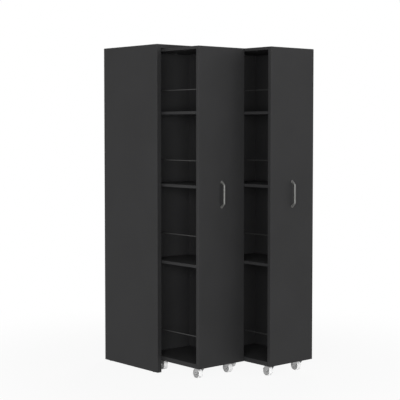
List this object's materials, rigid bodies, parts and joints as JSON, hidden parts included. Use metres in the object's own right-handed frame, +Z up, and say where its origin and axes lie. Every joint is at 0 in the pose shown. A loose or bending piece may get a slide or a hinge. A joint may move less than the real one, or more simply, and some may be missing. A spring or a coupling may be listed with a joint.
{
  "type": "extendable bookcase",
  "caption": "Tall bookcase whose narrow side-open units with shelves, guard rods and bow handles roll out of an open-bottomed shell on swivel casters.",
  "frame": {"origin": "on the floor, under the middle of the bookcase as it stands in the picture", "axes": "+Z up, +X to the right seen from the front, the units roll out towards -Y"},
  "size_m": [0.74, 1.0506, 1.85],
  "materials": {
    "board": "matte anthracite melamine",
    "back": "dark laminated hardboard",
    "rod": "satin black",
    "handle": "satin nickel",
    "plated": "bright zinc plate",
    "screw": "zinc plated",
    "zinc": "die-cast zinc",
    "wheel": "light grey, satin",
    "bearing": "plain",
    "dowel": "bare beech",
    "glide": "plain",
    "rubber": "matte"
  },
  "bodies": {
    "shell": {"shell_side_left": "board", "shell_side_right": "board", "shell_top": "board", "shell_rail_lower": "board", "shell_rail_upper": "board", "shell_back": "back", "shell_dowels": "dowel", "shell_cam_fittings": "zinc", "back_screws": "screw", "floor_glides": "glide", "stop_buffers": "rubber"},
    "left_unit": {"left_front_panel": "board", "left_rear_panel": "board", "left_side_wall": "board", "left_top_board": "board", "left_base_board": "board", "left_shelf_lower": "board", "left_shelf_middle": "board", "left_shelf_upper": "board", "left_book_rails": "rod", "left_handle": "handle", "left_handle_screws": "screw", "left_dowels": "dowel", "left_cam_fittings": "zinc", "left_caster_plates": "plated", "left_swivel_bearings": "bearing", "left_caster_screws": "screw"},
    "left_fork_front_left": {"left_fork_front_left": "plated"},
    "left_wheel_front_left": {"left_wheel_front_left": "wheel"},
    "left_fork_front_right": {"left_fork_front_right": "plated"},
    "left_wheel_front_right": {"left_wheel_front_right": "wheel"},
    "left_fork_rear_left": {"left_fork_rear_left": "plated"},
    "left_wheel_rear_left": {"left_wheel_rear_left": "wheel"},
    "left_fork_rear_right": {"left_fork_rear_right": "plated"},
    "left_wheel_rear_right": {"left_wheel_rear_right": "wheel"},
    "right_unit": {"right_front_panel": "board", "right_rear_panel": "board", "right_side_wall": "board", "right_top_board": "board", "right_base_board": "board", "right_shelf_lower": "board", "right_shelf_middle": "board", "right_shelf_upper": "board", "right_book_rails": "rod", "right_handle": "handle", "right_handle_screws": "screw", "right_dowels": "dowel", "right_cam_fittings": "zinc", "right_caster_plates": "plated", "right_swivel_bearings": "bearing", "right_caster_screws": "screw"},
    "right_fork_front_left": {"right_fork_front_left": "plated"},
    "right_wheel_front_left": {"right_wheel_front_left": "wheel"},
    "right_fork_front_right": {"right_fork_front_right": "plated"},
    "right_wheel_front_right": {"right_wheel_front_right": "wheel"},
    "right_fork_rear_left": {"right_fork_rear_left": "plated"},
    "right_wheel_rear_left": {"right_wheel_rear_left": "wheel"},
    "right_fork_rear_right": {"right_fork_rear_right": "plated"},
    "right_wheel_rear_right": {"right_wheel_rear_right": "wheel"}
  },
  "joints": [
    {"name": "left_unit_roll_out", "type": "slide", "parent": "shell", "child": "left_unit", "axis": [0, -1, 0], "range_m": [-0.316, 0.244]},
    {"name": "left_front_left_swivel", "type": "hinge", "parent": "left_unit", "child": "left_fork_front_left", "pos_m": [-0.273, -0.22125, 0.0575], "axis": [0, 0, 1], "continuous": true},
    {"name": "left_front_left_wheel_spin", "type": "hinge", "parent": "left_fork_front_left", "child": "left_wheel_front_left", "pos_m": [-0.273, -0.20825, 0.0275], "axis": [1, 0, 0], "continuous": true},
    {"name": "left_front_right_swivel", "type": "hinge", "parent": "left_unit", "child": "left_fork_front_right", "pos_m": [-0.0495, -0.22125, 0.0575], "axis": [0, 0, 1], "continuous": true},
    {"name": "left_front_right_wheel_spin", "type": "hinge", "parent": "left_fork_front_right", "child": "left_wheel_front_right", "pos_m": [-0.0495, -0.20825, 0.0275], "axis": [1, 0, 0], "continuous": true},
    {"name": "left_rear_left_swivel", "type": "hinge", "parent": "left_unit", "child": "left_fork_rear_left", "pos_m": [-0.273, 0.08275, 0.0575], "axis": [0, 0, 1], "continuous": true},
    {"name": "left_rear_left_wheel_spin", "type": "hinge", "parent": "left_fork_rear_left", "child": "left_wheel_rear_left", "pos_m": [-0.273, 0.09575, 0.0275], "axis": [1, 0, 0], "continuous": true},
    {"name": "left_rear_right_swivel", "type": "hinge", "parent": "left_unit", "child": "left_fork_rear_right", "pos_m": [-0.0495, 0.08275, 0.0575], "axis": [0, 0, 1], "continuous": true},
    {"name": "left_rear_right_wheel_spin", "type": "hinge", "parent": "left_fork_rear_right", "child": "left_wheel_rear_right", "pos_m": [-0.0495, 0.09575, 0.0275], "axis": [1, 0, 0], "continuous": true},
    {"name": "right_unit_roll_out", "type": "slide", "parent": "shell", "child": "right_unit", "axis": [0, -1, 0], "range_m": [-0.524, 0.036]},
    {"name": "right_front_left_swivel", "type": "hinge", "parent": "right_unit", "child": "right_fork_front_left", "pos_m": [0.0655, -0.42925, 0.0575], "axis": [0, 0, 1], "continuous": true},
    {"name": "right_front_left_wheel_spin", "type": "hinge", "parent": "right_fork_front_left", "child": "right_wheel_front_left", "pos_m": [0.0655, -0.41625, 0.0275], "axis": [1, 0, 0], "continuous": true},
    {"name": "right_front_right_swivel", "type": "hinge", "parent": "right_unit", "child": "right_fork_front_right", "pos_m": [0.289, -0.42925, 0.0575], "axis": [0, 0, 1], "continuous": true},
    {"name": "right_front_right_wheel_spin", "type": "hinge", "parent": "right_fork_front_right", "child": "right_wheel_front_right", "pos_m": [0.289, -0.41625, 0.0275], "axis": [1, 0, 0], "continuous": true},
    {"name": "right_rear_left_swivel", "type": "hinge", "parent": "right_unit", "child": "right_fork_rear_left", "pos_m": [0.0655, -0.12525, 0.0575], "axis": [0, 0, 1], "continuous": true},
    {"name": "right_rear_left_wheel_spin", "type": "hinge", "parent": "right_fork_rear_left", "child": "right_wheel_rear_left", "pos_m": [0.0655, -0.11225, 0.0275], "axis": [1, 0, 0], "continuous": true},
    {"name": "right_rear_right_swivel", "type": "hinge", "parent": "right_unit", "child": "right_fork_rear_right", "pos_m": [0.289, -0.12525, 0.0575], "axis": [0, 0, 1], "continuous": true},
    {"name": "right_rear_right_wheel_spin", "type": "hinge", "parent": "right_fork_rear_right", "child": "right_wheel_rear_right", "pos_m": [0.289, -0.11225, 0.0275], "axis": [1, 0, 0], "continuous": true}
  ]
}
